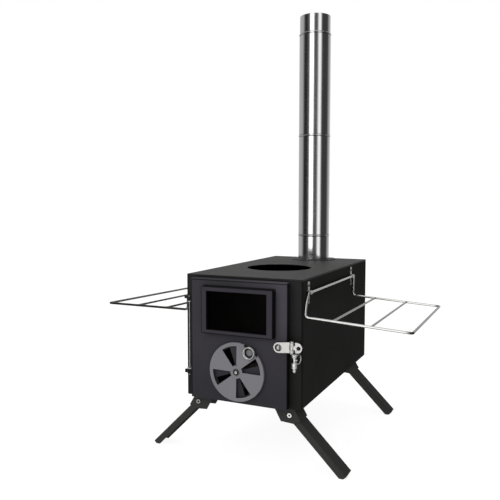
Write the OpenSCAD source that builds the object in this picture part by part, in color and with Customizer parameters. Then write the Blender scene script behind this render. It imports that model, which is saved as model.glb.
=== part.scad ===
// Small folding-leg wood stove for tents: a long sheet-metal casing on four splayed
// folding legs, a glazed front door with an air damper, two fold-over side racks and a
// sectional flue pipe. Millimetres, +Z up, the door faces -Y. The origin is on the floor
// under the middle of the overall box.

/* [Casing] */
// Width of the casing, side to side
body_w = 203; // [196:1:216]
// Length of the casing, front to back
body_d = 380; // [378:1:440]
// Height of the casing without the legs
body_h = 203; // [200:1:230]
// Sheet thickness of the casing and the door
sheet = 1.2; // [0.8:0.1:1.5]
// Bend radius of the two long bottom edges
edge_r = 3.5; // [3:0.5:8]
// Bend radius of the two upright front edges
corner_r = 2.5; // [2:0.5:4]
// Depth of the rim round the top plate
hem_h = 3; // [2:0.5:5]

/* [Top plate openings] */
// Distance of the cooking hole's centre behind the casing front
cook_y = 154.6; // [140:0.2:170]
// Radius of the cooking hole
cook_r = 57.5; // [45:0.5:65]
// Distance of the flue's centre behind the casing front
flue_y = 344; // [338:0.5:346]

/* [Door] */
// How far the door pan stands proud of the casing front
door_t = 12; // [11:0.5:13]
// How far the window frame stands proud of the door
frame_t = 10; // [9:0.5:11]
// Height of the window opening
win_h = 62; // [54:1:64]

/* [Air damper] */
// Radius of the damper disc
disc_r = 47.3; // [46:0.1:48]
// Angular width of each air slot, in degrees
slot_a = 38; // [25:1:42]
// How far the damper is turned, in degrees (positive closes it)
disc_turn = 0; // [-5:1:5]
// Number of turns of the coil knob
coil_turns = 3; // [3:1:4]
// Wire thickness of the coil knob
coil_wire = 1.8; // [1.7:0.05:2.2]

/* [Legs] */
// Height of the casing bottom above the floor
leg_h = 97; // [80:1:110]
// Width of a leg across its flanges
leg_w = 29; // [24:1:29]
// Sheet thickness of the legs and their brackets
leg_sheet = 1.4; // [1.2:0.1:1.6]

/* [Side racks] */
// Distance of a rack's outer bar from the middle of the casing
rack_reach = 264.9; // [220:0.1:280]
// Wire thickness of the racks
rack_wire = 4; // [3.6:0.1:4.2]
// Drop of the right shelf between its inner crossbar and its outer bar
droop_right = 7.8; // [0:0.1:10]
// Drop of the left shelf towards its rear end
lean_left = 7.7; // [0:0.1:9]
// Drop of the right shelf towards its rear end
lean_right = 2.6; // [0:0.1:4]

/* [Flue pipe] */
// Outer diameter of the flue pipe
pipe_d = 63.5; // [60:0.5:64]
// Length of each pipe section between its beads
pipe_l = 202.5; // [150:0.5:300]
// Height of the collar on the top plate
collar_h = 50.5; // [45:0.5:60]
// Length of the reduced neck that plugs into the next section
neck_l = 35; // [25:1:40]
// Wall thickness of the pipe
pipe_t = 0.78; // [0.6:0.02:1]

/* [Hidden] */
$fn = 48;

e = 0.01;
hw = body_w / 2;                     // half width of the casing
wall_top = body_h - hem_h - 0.4;     // top of the side walls, just under the rim
lip_h = 8;                           // depth of the lip inside the walls
lip_y = corner_r + 0.3;              // its front face

// Door, in the casing's own frame: x from its middle, z from its bottom, y from its front
dx0 = -87; dx1 = 81.5; dz0 = 1.2; dz1 = body_h - 4.6;
dgap = 0.5;                          // clearance behind the pan's flange
pan_r = 2;                           // bend radius of the pan's and the window frame's front edges
wx0 = -63; wx1 = 61.7; wz1 = body_h - 16; wz0 = wz1 - (win_h + 13.7);
ox0 = -53; ox1 = 51.3; oz1 = body_h - 23; oz0 = oz1 - win_h;
yp = -door_t;                        // front face of the door pan
yf = yp - frame_t;                   // front face of the window frame

// Damper
ax = -2.5; az = 53;                  // axis of the disc
slot_c = 108;                        // first air slot, degrees from +X as seen from the front
vent_c = slot_c + 20.8;              // first vent in the door
disc_y = yp - 4.5;                   // front face of the disc
knob_a = 55.5; knob_rc = 40.4;       // knob position on the disc
kx = ax + knob_rc * cos(knob_a); kz = az + knob_rc * sin(knob_a);
coil_ro = 9.5; coil_l = 5;           // outer radius and length of the coil
coil_p = (coil_l - coil_wire) / (coil_turns - 1);

// Hinge
hx = -92.7; hy = -6; rod_r = 1.3;

// Latch
bx = 69.1; bz = 99.5;                // bolt of the latch strap
nx = 90.8; ny = yp - 4.25; kr = 3.4; // knuckle axis and outer radius
sy = yp - 5; st = 1.5;               // front face and thickness of the strap
cx = 101.9; cz = 101.2;              // stud of the catch
rx = 100; rz = 91;                   // hole that the ring hangs in
ring_r = 7; ring_w = 0.9;
ring_c = [rx, yp - 1, rz - ring_r];
ring_turn = 15;                      // the ring's plane, turned from the YZ plane
pin_x = 97.7; pin_y = yp - 11.15;
pin_r = 4.3;                         // widest radius of the snap pin
front = pin_y - pin_r;               // foremost face, the head of the snap pin
y_shift = -(body_d + front) / 2;     // puts the middle of the overall box at y = 0

// Legs and brackets
px = 81.1; pz = -9.8;                // pivot bolt
ly0 = 2;                             // front face of a bracket
rear_dy = 313;                       // from the front brackets to the rear ones
leg_gap = 0.3;
cheek2_y = ly0 + leg_sheet + leg_w + 2 * leg_gap;
leg_fy = ly0 + leg_sheet + leg_gap;  // front face of a leg
bracket_l = cheek2_y + leg_sheet - ly0;
web_o = 5.3;                         // web's outer face from the pivot
edge_o = 5.6;                        // flanges' free edges from the pivot
bolt_r = 2.5;

// Racks
pvx = 105; pvz = 180.6;              // pivot of a rack
shelf_z = 144.9; shelf_zl = 141.8;   // right and left shelf at their inner front corner
rack_y0 = 7; rack_y1 = 277;
rod_y0 = 19; rod_y1 = 276;
foot_x = 103.8;                      // lower end of the rack's legs
wr = rack_wire / 2;
bar_in = 147; bar_out = 205;         // crossbars
bk_y = [26, 265];                    // rack brackets
bk_w = 8;

// Flue
pr = pipe_d / 2; neck_r = pr - pipe_t - 0.07;
z1 = body_h + collar_h;              // bead of the collar
z2 = z1 + pipe_l;
z3 = z2 + pipe_l;
bead = 1.3;

module place() translate([0, y_shift, leg_h]) children();

// Extrudes a drawing of the front view (x, z) from y0 by l towards the back
module along_y(y0, l) translate([0, y0 + l, 0]) rotate([90, 0, 0]) linear_extrude(l) children();
// Extrudes a drawing of the side view (y, z) from x0 by l to the right
module along_x(x0, l) translate([x0, 0, 0]) rotate([90, 0, 90]) linear_extrude(l) children();
// A block seen from the front as a round-cornered rectangle, its front edges bent with radius rb
module pan(x0, x1, z0, z1, y0, l, r, rb) intersection() {
    along_y(y0, l) rrect(x0, x1, z0, z1, r);
    translate([0, 0, z0 - 1]) linear_extrude(z1 - z0 + 2) rrect(x0, x1, y0, y0 + l + 9, rb);
    along_x(x0 - 1, x1 - x0 + 2) rrect(y0, y0 + l + 9, z0, z1, rb);
}
// A round bar from (x, y0, z) by l towards the back
module bar_y(x, z, y0, l, r) translate([x, y0, z]) rotate([-90, 0, 0]) cylinder(h = l, r = r);
// A hexagon bar from (x, y0, z) by l towards the back, af across the flats
module hex_y(x, z, y0, l, af) translate([x, y0, z]) rotate([-90, 0, 0]) cylinder(h = l, r = af / sqrt(3), $fn = 6);
// Rectangle with round corners
module rrect(x0, x1, y0, y1, r) {
    translate([x0 + r, y0]) square([x1 - x0 - 2 * r, y1 - y0]);
    translate([x0, y0 + r]) square([x1 - x0, y1 - y0 - 2 * r]);
    for (x = [x0 + r, x1 - r], y = [y0 + r, y1 - r]) translate([x, y]) circle(r = r);
}
// Ring sectors, seen from the front
module wedges(c, w, r0, r1) translate([ax, az]) for (k = [0:3]) rotate(c + 90 * k)
    intersection() {
        difference() { circle(r = r1); circle(r = r0); }
        polygon([[0, 0], [80 * cos(w / 2), -80 * sin(w / 2)], [80 * cos(w / 2), 80 * sin(w / 2)]]);
    }
module mirror_x(on) mirror([on ? 1 : 0, 0, 0]) children();

// ---------------------------------------------------------------- casing
module u_profile(i, r) {
    w = hw - i;
    translate([-w + r, i]) square([2 * (w - r), body_h]);
    translate([-w, i + r]) square([2 * w, body_h]);
    for (s = [-1, 1]) translate([s * (w - r), i + r]) circle(r = r);
}
module plan_profile(i, r, back) {
    w = hw - i;
    translate([-w + r, i]) square([2 * (w - r), back - i]);
    translate([-w, i + r]) square([2 * w, back - i - r]);
    for (s = [-1, 1]) translate([s * (w - r), i + r]) circle(r = r);
}
module casing_shell() color([0.12, 0.12, 0.12]) place() difference() {
    intersection() {
        along_y(0, body_d) u_profile(0, edge_r);
        linear_extrude(wall_top) plan_profile(0, corner_r, body_d);
        along_x(-hw - 1, body_w + 2) rrect(0, body_d + 9, 0, body_h + 9, 3);
    }
    intersection() {
        along_y(sheet, body_d) u_profile(sheet, edge_r - sheet);
        linear_extrude(body_h) plan_profile(sheet, corner_r - sheet, body_d + 5);
    }
    along_y(-1, sheet + 2) rrect(-76, 71, 12, body_h - 16, 4);
    for (s = [-1, 1], y = bk_y, z = [168, 191.5])
        translate([s * (hw + 1), y, z]) rotate([0, -s * 90, 0]) cylinder(h = sheet + 2, r = 1.6);
    for (s = [-1, 1], d = [0, rear_dy], x = [57, 72])
        translate([s * x, ly0 + bracket_l / 2 + d, -1]) cylinder(h = sheet + 2, r = 1.6);
}
module front_frame() color([0.13, 0.13, 0.13]) place() difference() {
    along_y(sheet, sheet) rrect(-hw + 6, hw - 6, 6, body_h - 15, 3);
    along_y(0, 5) rrect(-68, 63, 20, body_h - 24, 5);
}
module back_panel() color([0.12, 0.12, 0.12]) place() difference() {
    along_y(body_d - 14, 12) intersection() {
        u_profile(sheet, edge_r - sheet);
        translate([-hw, 0]) square([body_w, body_h - lip_h]);
    }
    along_y(body_d - 15, 13 - sheet) intersection() {
        u_profile(2 * sheet, max(edge_r - 2 * sheet, 0.5));
        translate([-hw, 0]) square([body_w, body_h - lip_h + 5]);
    }
}
module top_plate() color([0.2, 0.2, 0.2]) place() difference() {
    union() {
        difference() {
            intersection() {
                translate([0, 0, body_h - hem_h]) linear_extrude(hem_h) plan_profile(0, corner_r, body_d);
                along_y(-1, body_d + 2) rrect(-hw, hw, body_h - 30, body_h, 0.9);
                along_x(-hw - 1, body_w + 2) rrect(0, body_d, body_h - 30, body_h, 0.9);
            }
            translate([0, 0, body_h - hem_h - 1]) linear_extrude(hem_h + 1 - sheet) plan_profile(sheet, corner_r - sheet, body_d - sheet);
        }
        difference() {
            translate([-hw + sheet, lip_y, body_h - lip_h]) cube([body_w - 2 * sheet, body_d - 2 - lip_y, lip_h - sheet / 2]);
            translate([-hw + 2 * sheet, lip_y + sheet, body_h - lip_h - 1]) cube([body_w - 4 * sheet, body_d - 2 - lip_y - 2 * sheet, lip_h + 2]);
        }
    }
    translate([0, cook_y, body_h - 5]) cylinder(h = 10, r = cook_r);
    translate([0, flue_y, body_h - 5]) cylinder(h = 10, r = pr - pipe_t);
    for (p = flue_holes) translate([p[0], p[1], body_h - 5]) cylinder(h = 10, r = 1.6);
}
// Perforated grate that keeps the fire off the bottom sheet
grate_y = 26; grate_l = 290;
module fire_grate() color([0.2, 0.2, 0.2]) place() difference() {
    translate([-62, grate_y, sheet]) cube([120, grate_l, 13]);
    translate([-62 + sheet, grate_y - 1, sheet - 1]) cube([120 - 2 * sheet, grate_l + 2, 14 - sheet]);
    for (k = [0:10], s = [-1, 1]) translate([-2 + s * 27 - 20, grate_y + 22 + k * 24, 5]) cube([40, 7, 20]);
}

// ---------------------------------------------------------------- door
module door_pan() color([0.21, 0.2, 0.22]) place() difference() {
    pan(dx0, dx1, dz0, dz1, yp, door_t - dgap, 2.5, pan_r);
    pan(dx0 + sheet, dx1 - sheet, dz0 + sheet, dz1 - sheet, yp + sheet, door_t, 1.4, pan_r - sheet);
    along_y(yp - 1, 4) rrect(ox0 + 3, ox1 - 3, oz0 + 3, oz1 - 3, 2);
    along_y(yp - 1, 4) wedges(vent_c, slot_a, 12, 39.5);
    bar_y(ax, az, yp - 1, 4, 3.1);
    bar_y(bx, bz, yp - 1, 4, 2.6);
    for (p = screw_pts) bar_y(p[0], p[1], yp - 1, 4, 1.4);
}
screw_pts = [for (x = [wx0 + 3.6, (wx0 + wx1) / 2, wx1 - 3.6], z = [wz0 + 2.8, wz1 - 2.8]) [x, z]];
module window_frame() color([0.19, 0.19, 0.2]) place() difference() {
    union() {
        difference() {
            pan(wx0, wx1, wz0, wz1, yf, frame_t, 3, pan_r);
            pan(wx0 + sheet, wx1 - sheet, wz0 + sheet, wz1 - sheet, yf + sheet, frame_t, 1.8, pan_r - sheet);
        }
        difference() {
            along_y(yf, frame_t - 5.6) rrect(ox0 - sheet, ox1 + sheet, oz0 - sheet, oz1 + sheet, 2.2);
            along_y(yf + sheet, frame_t) rrect(ox0, ox1, oz0, oz1, 1.5);
        }
        for (p = screw_pts) bar_y(p[0], p[1], yf + 0.5, frame_t - 0.5, 2);
    }
    along_y(yf - 1, frame_t + 2) rrect(ox0, ox1, oz0, oz1, 1.5);
    for (p = screw_pts) bar_y(p[0], p[1], yp - 6, 7, 1.2);
}
module window_glass() color([0.1, 0.1, 0.12, 0.6]) place()
    along_y(yp - 5.6, 4) rrect(ox0 - 3.8, ox1 + 3.8, oz0 - 1.3, oz1 + 1.3, 1.5);
module window_gasket() color([0.75, 0.73, 0.68]) place() difference() {
    along_y(yp - 1.6, 1.6) rrect(ox0 - 3.8, ox1 + 3.8, oz0 - 1.3, oz1 + 1.3, 1.5);
    along_y(yp - 3, 5) rrect(ox0 + 1, ox1 - 1, oz0 + 3, oz1 - 3, 2);
}
module window_screws() color([0.75, 0.75, 0.74]) place() for (p = screw_pts) {
    bar_y(p[0], p[1], yp - 4, 4 + sheet + 0.5, 1.15);
    bar_y(p[0], p[1], yp + sheet, 1.8, 2.6);
}
module door_gasket() color([0.7, 0.68, 0.62]) place() difference() {
    along_y(yp + sheet, door_t - sheet - 0.3) rrect(dx0 + sheet + 1, dx1 - sheet - 1, dz0 + sheet + 1, dz1 - sheet - 1, 1.6);
    along_y(yp, door_t + 2) rrect(dx0 + 10.2, dx1 - 6.4, dz0 + 11, dz1 - 8.9, 5);
}

// ---------------------------------------------------------------- air damper
module knob_notch() translate([kx, kz]) intersection() {
    difference() { circle(r = 14.2); circle(r = coil_ro + 0.3); }
    rotate(knob_a) translate([2.5, -30]) square([40, 60]);
}
module damper_disc() color([0.5, 0.5, 0.52]) place()
    translate([ax, 0, az]) rotate([0, disc_turn, 0]) translate([-ax, 0, -az]) difference() {
        union() {
            along_y(disc_y, sheet) difference() {
                union() {
                    difference() {
                        translate([ax, az]) circle(r = disc_r);
                        knob_notch();
                    }
                    translate([kx, kz]) circle(r = coil_ro + 0.3);
                }
                wedges(slot_c, slot_a, 10.4, 41.5);
            }
            along_y(disc_y + e, 4.2) difference() {
                translate([ax, az]) circle(r = disc_r);
                translate([ax, az]) circle(r = disc_r - sheet);
                knob_notch();
                translate([kx, kz]) circle(r = 13);
            }
        }
        bar_y(ax, az, disc_y - 1, 4, 3.1);
    }
module damper_bolt() color([0.78, 0.78, 0.77]) place() {
    bar_y(ax, az, disc_y, -disc_y + yp + 9, 3);
    bar_y(ax, az, disc_y + sheet + 0.3, yp - disc_y - sheet - 0.3, 5.5);
    difference() {
        translate([ax, disc_y - 0.3, az]) rotate([90, 0, 0]) intersection() {
            cylinder(h = 3.2, r = 5.2);
            translate([0, 0, -3.4]) sphere(r = 6.6);
        }
        translate([ax, disc_y - 3.8, az]) rotate([-90, 0, 0]) cylinder(h = 2, r = 1.7, $fn = 6);
    }
    bar_y(ax, az, disc_y - 0.4, 1, 3);
}
module damper_nut() color([0.72, 0.72, 0.71]) place() difference() {
    union() {
        bar_y(ax, az, yp + sheet, 1.2, 6.5);
        hex_y(ax, az, yp + sheet + 1.2, 4.8, 10);
    }
    bar_y(ax, az, yp, 12, 3.05);
}
module coil_knob() color([0.82, 0.82, 0.8]) place() translate([kx, disc_y, kz]) rotate([90, 0, 0])
    rotate_extrude() {
        for (k = [0:coil_turns - 1]) translate([coil_ro - coil_wire / 2, coil_wire / 2 + k * coil_p]) circle(r = coil_wire / 2);
        translate([coil_ro - coil_wire + 0.15, 0]) square([coil_wire - 0.3, coil_wire / 2]);
    }

// ---------------------------------------------------------------- hinge
module hinge_rod() color([0.8, 0.8, 0.79]) place() translate([hx, hy, 0]) {
    translate([0, 0, 37.2]) cylinder(h = 166.8 - 37.2, r = rod_r);
    translate([0, 0, 166]) cylinder(h = 1.8, r = 2.2);
    translate([0, 0, 36.2]) cylinder(h = 1.8, r = 2.2);
}
module hinge_washers() color([0.85, 0.85, 0.84]) place() for (z = [46.6, 158.3])
    translate([hx, hy, z]) difference() {
        cylinder(h = 1.2, r = 4.5);
        translate([0, 0, -1]) cylinder(h = 4, r = rod_r + 0.15);
    }
module casing_hinge_lugs() color([0.12, 0.12, 0.12]) place() for (z = [[38, 5.5], [162.3, 3.7]])
    translate([hx, hy, z[0]]) difference() {
        linear_extrude(z[1]) {
            circle(r = 4.2);
            translate([-11, 2]) square([15, -hy - 2]);
            translate([-4, 0]) square([8, -hy]);
        }
        translate([0, 0, -1]) cylinder(h = 9, r = rod_r + 0.05);
    }
module door_hinge_ears() color([0.15, 0.15, 0.16]) place() for (z = [43.8, 159.7])
    translate([hx, hy, z]) difference() {
        linear_extrude(2.4) {
            circle(r = 4.2);
            translate([0, -4.2]) square([dx0 - hx, 8.4]);
        }
        translate([0, 0, -1]) cylinder(h = 9, r = rod_r + 0.08);
    }

// ---------------------------------------------------------------- latch and catch
module barrel(z, h, r) translate([nx, ny, z]) cylinder(h = h, r = r);
module latch_strap() color([0.78, 0.78, 0.77]) place() difference() {
    union() {
        along_y(sy, st) {
            translate([bx, bz]) circle(r = 8);
            polygon([[bx - 0.7, bz + 7.97], [nx - 3.8, 109.4], [nx - 3.8, 93.2], [bx + 0.3, bz - 7.99]]);
        }
        for (z = [[93.2, 5], [104.4, 5]]) {
            barrel(z[0], z[1], kr);
            translate([nx - 5, sy, z[0]]) cube([5, st, z[1]]);
        }
    }
    barrel(80, 40, 1.7);
    bar_y(bx, bz, sy - 1, 5, 2.6);
}
module latch_bolt() color([0.82, 0.82, 0.8]) place() {
    bar_y(bx, bz, sy, yp - sy + 6.6, 2.5);
    translate([bx, sy, bz]) rotate([90, 0, 0]) difference() {
        intersection() {
            cylinder(h = 3.2, r = 5.5);
            translate([0, 0, -3.6]) sphere(r = 6.9);
        }
        translate([0, 0, 1.6]) cylinder(h = 3, r = 1.6, $fn = 6);
    }
}
module latch_spacer() color([0.7, 0.7, 0.69]) place() difference() {
    bar_y(bx, bz, sy + st, yp - sy - st, 6.5);
    bar_y(bx, bz, sy, 8, 2.55);
}
module latch_nut() color([0.72, 0.72, 0.71]) place() difference() {
    union() {
        bar_y(bx, bz, yp + sheet, 1, 5);
        hex_y(bx, bz, yp + sheet + 1, 4, 8);
    }
    bar_y(bx, bz, yp, 12, 2.55);
}
module latch_pin() color([0.82, 0.82, 0.8]) place() {
    barrel(92.2, 18, 1.65);
    barrel(109.4, 1.6, 2.9);
    barrel(91.6, 1.6, 2.6);
}
module latch_hasp() color([0.8, 0.8, 0.79]) place() difference() {
    union() {
        along_y(sy + 0.1, st) {
            translate([96.1, 93.4]) square([3.3, 16.2]);
            intersection() {
                translate([99.4, 101.5]) circle(r = 8.1);
                translate([97, 80]) square([20, 50]);
            }
        }
        barrel(98.4, 5.8, kr);
        translate([nx, sy + 0.1, 98.4]) cube([5.5, st, 5.8]);
    }
    barrel(80, 40, 1.75);
    along_y(sy - 1, 5) {
        for (s = [-0.4, 0.4]) translate([cx + s, cz]) circle(r = 2.75);
        translate([cx - 0.4, cz - 2.75]) square([0.8, 5.5]);
    }
}
module catch_bracket() color([0.12, 0.12, 0.12]) place() difference() {
    union() {
        translate([84, -1.5, 93]) cube([13.5, 1.5, 16]);
        translate([96, yp - 1.5, 93]) cube([1.5, door_t + 1.5, 16]);
        along_y(yp - 1.5, 1.5) {
            translate([96, 93]) square([6, 16]);
            translate([101.5, 101]) circle(r = 5.2);
            translate([rx, rz]) circle(r = 3.6);
            translate([rx - 3.6, rz]) square([7.2, 5]);
        }
    }
    bar_y(cx, cz, yp - 4, 8, 2.15);
    bar_y(rx, rz, yp - 4, 8, 1.9);
}
module catch_stud() color([0.16, 0.16, 0.16]) place() {
    bar_y(cx, cz, yp - 6.4, 6.4, 2.1);
    bar_y(cx, cz, yp, 1.2, 3.2);
}
module snap_ring() color([0.83, 0.83, 0.81]) place() translate(ring_c)
    rotate([0, 0, -ring_turn]) rotate([0, 90, 0]) rotate_extrude($fn = 64) translate([ring_r, 0]) circle(r = ring_w, $fn = 24);
module snap_pin() color([0.8, 0.8, 0.78]) place() {
    translate([pin_x, pin_y, 0]) rotate_extrude() polygon([
        [0, 65.2], [1.2, 65.4], [2.4, 67], [2.4, 69.4], [1.8, 69.8], [1.8, 71], [3.1, 71.4], [3.8, 72.2],
        [3.8, 78.6], [3.1, 79.8], [1.5, 80.3], [1.5, 85.5], [2, 86.1], [pin_r, 91.4], [pin_r - 0.3, 92.5], [0, 92.5]]);
    // Eye that hangs on the ring
    translate([ring_c[0] - ring_r * sin(ring_turn), ring_c[1] - ring_r * cos(ring_turn), 83.2]) difference() {
        cylinder(h = 1.6, r = 3.2);
        translate([0, 0, -1]) cylinder(h = 4, r = 1.75);
    }
}

// ---------------------------------------------------------------- racks
module rod(a, b, r) {
    d = b - a;
    l = norm(d);
    translate(a) rotate([0, acos(d[2] / l), atan2(d[1], d[0])]) cylinder(h = l, r = r);
}
module rack(z0, droop, lean) {
    g = droop / (rack_reach - bar_in);
    x1 = foot_x + 3.2;
    function sz(x, y) = z0 - g * max(x - x1, 0) - lean * (y - rack_y0) / (rack_y1 - rack_y0);
    // Front and rear ends share one form: pivot rod, leg, bend, shelf wire
    for (y = [[rod_y0, rack_y0], [rod_y1, rack_y1]]) {
        p0 = [pvx, y[0], pvz]; p1 = [foot_x, y[1], sz(0, y[1]) + 3.2]; p2 = [x1, y[1], sz(0, y[1])]; p3 = [rack_reach, y[1], sz(rack_reach, y[1])];
        rod(p0, p1, wr); rod(p1, p2, wr); rod(p2, p3, wr);
        for (p = [p0, p1, p2, p3]) translate(p) sphere(r = wr + 0.02);
    }
    rod([pvx, rod_y0, pvz], [pvx, rod_y1, pvz], wr);
    for (x = [bar_in, bar_out]) rod([x, rack_y0, sz(x, rack_y0)], [x, rack_y1, sz(x, rack_y1)], wr * 0.9);
    rod([rack_reach, rack_y0, sz(rack_reach, rack_y0)], [rack_reach, rack_y1, sz(rack_reach, rack_y1)], wr);
}
module rack_left() color([0.83, 0.83, 0.82]) place() mirror([1, 0, 0]) rack(shelf_zl, 0, lean_left);
module rack_right() color([0.83, 0.83, 0.82]) place() rack(shelf_z, droop_right, lean_right);
module rack_bracket() difference() {
    union() {
        along_y(-bk_w / 2, bk_w) difference() {
            union() {
                translate([pvx, pvz]) circle(r = wr + 1.3);
                translate([hw, pvz - wr - 1.3]) square([pvx - hw, 2 * (wr + 1.3)]);
            }
            translate([pvx, pvz]) circle(r = wr + 0.1);
            translate([hw - 1, pvz - wr - 0.1]) square([pvx - hw + 1, 2 * (wr + 0.1)]);
        }
        intersection() {
            union() {
                translate([hw, -bk_w / 2, pvz + wr + 0.1]) cube([1.2, bk_w, 198 - pvz - wr - 0.1]);
                translate([hw, -bk_w / 2, 163]) cube([1.2, bk_w, pvz - wr - 0.1 - 163]);
            }
            along_x(hw - 1, 4) rrect(-bk_w / 2, bk_w / 2, 163, 198, 3.2);
        }
    }
    for (z = [168, 191.5]) translate([hw - 1, 0, z]) rotate([0, 90, 0]) cylinder(h = 5, r = 1.6);
}
module rack_brackets() color([0.7, 0.7, 0.69]) place()
    for (s = [0, 1], y = bk_y) mirror_x(s == 1) translate([0, y, 0]) rack_bracket();
module rack_rivets() color([0.8, 0.8, 0.79]) place()
    for (s = [0, 1], y = bk_y, z = [168, 191.5]) mirror_x(s == 1) translate([hw, y, z]) rotate([0, 90, 0]) {
        translate([0, 0, -sheet - 0.8]) cylinder(h = sheet + 2, r = 1.5);
        translate([0, 0, -sheet - 1]) cylinder(h = 1, r = 2.6);
        translate([0, 0, 1.2]) intersection() {
            cylinder(h = 1.2, r = 2.4);
            translate([0, 0, -1.6]) sphere(r = 2.8);
        }
    }

// ---------------------------------------------------------------- legs
module cheek() polygon([[52, -1], [56.5, -4], [66, -21.5], [88, -23], [97.9, -18.2], [88.6, -1]]);
module leg_bracket() {
    translate([49, ly0, -leg_sheet]) cube([39.8, bracket_l, leg_sheet]);
    for (y = [ly0, cheek2_y]) along_y(y, leg_sheet) difference() {
        cheek();
        translate([px, pz]) circle(r = bolt_r + 0.06);
    }
    along_y(ly0, bracket_l) polygon([[87.3, -1], [88.8, -1], [98.6, -17.8], [97.2, -17.8]]);
}
module leg_bracket_at(left, rear) difference() {
    mirror_x(left) translate([0, rear ? rear_dy : 0, 0]) leg_bracket();
    mirror_x(left) for (x = [57, 72]) translate([x, ly0 + bracket_l / 2 + (rear ? rear_dy : 0), -3]) cylinder(h = 6, r = 1.6);
}
module leg_bracket_front_left() color([0.16, 0.16, 0.16]) place() leg_bracket_at(true, false);
module leg_bracket_front_right() color([0.16, 0.16, 0.16]) place() leg_bracket_at(false, false);
module leg_bracket_rear_left() color([0.16, 0.16, 0.16]) place() leg_bracket_at(true, true);
module leg_bracket_rear_right() color([0.16, 0.16, 0.16]) place() leg_bracket_at(false, true);
module bracket_rivets() color([0.2, 0.2, 0.2]) place()
    for (s = [0, 1], d = [0, rear_dy], x = [57, 72]) mirror_x(s == 1)
        translate([x, ly0 + bracket_l / 2 + d, 0]) {
            translate([0, 0, -leg_sheet - 0.5]) cylinder(h = leg_sheet + sheet + 1, r = 1.5);
            translate([0, 0, sheet]) cylinder(h = 1, r = 3);
            translate([0, 0, -leg_sheet - 1]) cylinder(h = 1, r = 3);
        }
// Side view of a leg: s runs down the leg, o towards its web
function leg_pt(s, o) = [px + (s + o) / sqrt(2), pz - (s - o) / sqrt(2)];
floor_in = [px + (leg_h + pz) - edge_o * sqrt(2), -leg_h];
leg_end = (leg_h + pz) * sqrt(2) - 0.3;
end_r = (web_o + edge_o) / 2;        // round upper end
module leg_outline() polygon(concat(
    [leg_pt(leg_end, web_o), [floor_in[0] + 6.5, -leg_h], floor_in],
    [for (a = [0:12:180]) leg_pt(-end_r * sin(a), (web_o - edge_o) / 2 - end_r * cos(a))]));
// Cross-section of the channel: x towards the web, y along the pivot
module channel() difference() {
    rrect(-20, web_o, leg_fy, leg_fy + leg_w, 2);
    rrect(-30, web_o - leg_sheet, leg_fy + leg_sheet, leg_fy + leg_w - leg_sheet, 0.6);
}
module leg() difference() {
    intersection() {
        along_y(leg_fy - 1, leg_w + 2) leg_outline();
        translate([px, 0, pz]) rotate([0, -45, 0]) translate([0, 0, -leg_end - 20]) linear_extrude(leg_end + 40) channel();
    }
    bar_y(px, pz, 0, 60, bolt_r + 0.08);
}
module leg_at(left, rear) color([0.17, 0.17, 0.165]) place() mirror_x(left) translate([0, rear ? rear_dy : 0, 0]) leg();
module leg_front_left() leg_at(true, false);
module leg_front_right() leg_at(false, false);
module leg_rear_left() leg_at(true, true);
module leg_rear_right() leg_at(false, true);
module leg_bolts() color([0.8, 0.8, 0.79]) place() for (s = [0, 1], d = [0, rear_dy]) mirror_x(s == 1) {
    bar_y(px, pz, ly0 - 0.5 + d, bracket_l + 5, bolt_r);
    translate([px, ly0 + d, pz]) rotate([90, 0, 0]) difference() {
        cylinder(h = 2.2, r = 3.7);
        translate([0, 0, 0.6]) cylinder(h = 3, r = 1.4);
    }
}
module leg_nuts() color([0.4, 0.4, 0.39]) place() for (s = [0, 1], d = [0, rear_dy]) mirror_x(s == 1) difference() {
    hex_y(px, pz, ly0 + bracket_l + d, 4, 8);
    bar_y(px, pz, ly0 + bracket_l - 1 + d, 8, bolt_r + 0.05);
}

// ---------------------------------------------------------------- flue
flue_holes = [[0, flue_y - 38], [-41, flue_y + 4], [41, flue_y + 4]];
// Half section of a tube with a bead at zb and a reduced neck above it
module tube_section(zlow, zb) {
    translate([pr - pipe_t, zlow]) square([pipe_t, zb - zlow]);
    translate([pr - 0.4, zb]) circle(r = bead);
    translate([neck_r - pipe_t, zb - 2]) square([pr - neck_r + pipe_t, 2]);
    translate([neck_r - pipe_t, zb - 2]) square([pipe_t, neck_l + 2 + bead]);
}
module tube(zlow, zb) translate([0, flue_y, 0]) rotate_extrude($fn = 96) difference() {
    tube_section(zlow, zb);
    square([neck_r - pipe_t, zb + 99]);
}
module flue_collar() color([0.8, 0.8, 0.8]) place() {
    difference() {
        intersection() {
            translate([0, flue_y, body_h]) cylinder(h = 1.2, r = 46, $fn = 96);
            translate([-60, flue_y - 60, body_h - 1]) cube([120, body_d - 2 - flue_y + 60, 5]);
        }
        translate([0, flue_y, body_h - 1]) cylinder(h = 5, r = pr - pipe_t / 2, $fn = 96);
        for (p = flue_holes) translate([p[0], p[1], body_h - 1]) cylinder(h = 5, r = 1.6);
    }
    tube(body_h, z1);
}
module flue_screws() color([0.85, 0.85, 0.84]) place() for (p = flue_holes) translate([p[0], p[1], body_h]) {
    translate([0, 0, -5]) cylinder(h = 6.6, r = 1.5);
    translate([0, 0, -sheet - 1.4]) cylinder(h = 1.4, r = 2.8);
    translate([0, 0, 1.2]) intersection() {
        cylinder(h = 2.2, r = 3.2);
        translate([0, 0, -1.6]) sphere(r = 3.7);
    }
}
seat = 0.2;                          // a section stands this far above the bead below
module pipe_lower() color([0.82, 0.82, 0.82]) place() tube(z1 + bead + seat, z2);
module pipe_upper() color([0.82, 0.82, 0.82]) place() tube(z2 + bead + seat, z3);

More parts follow.
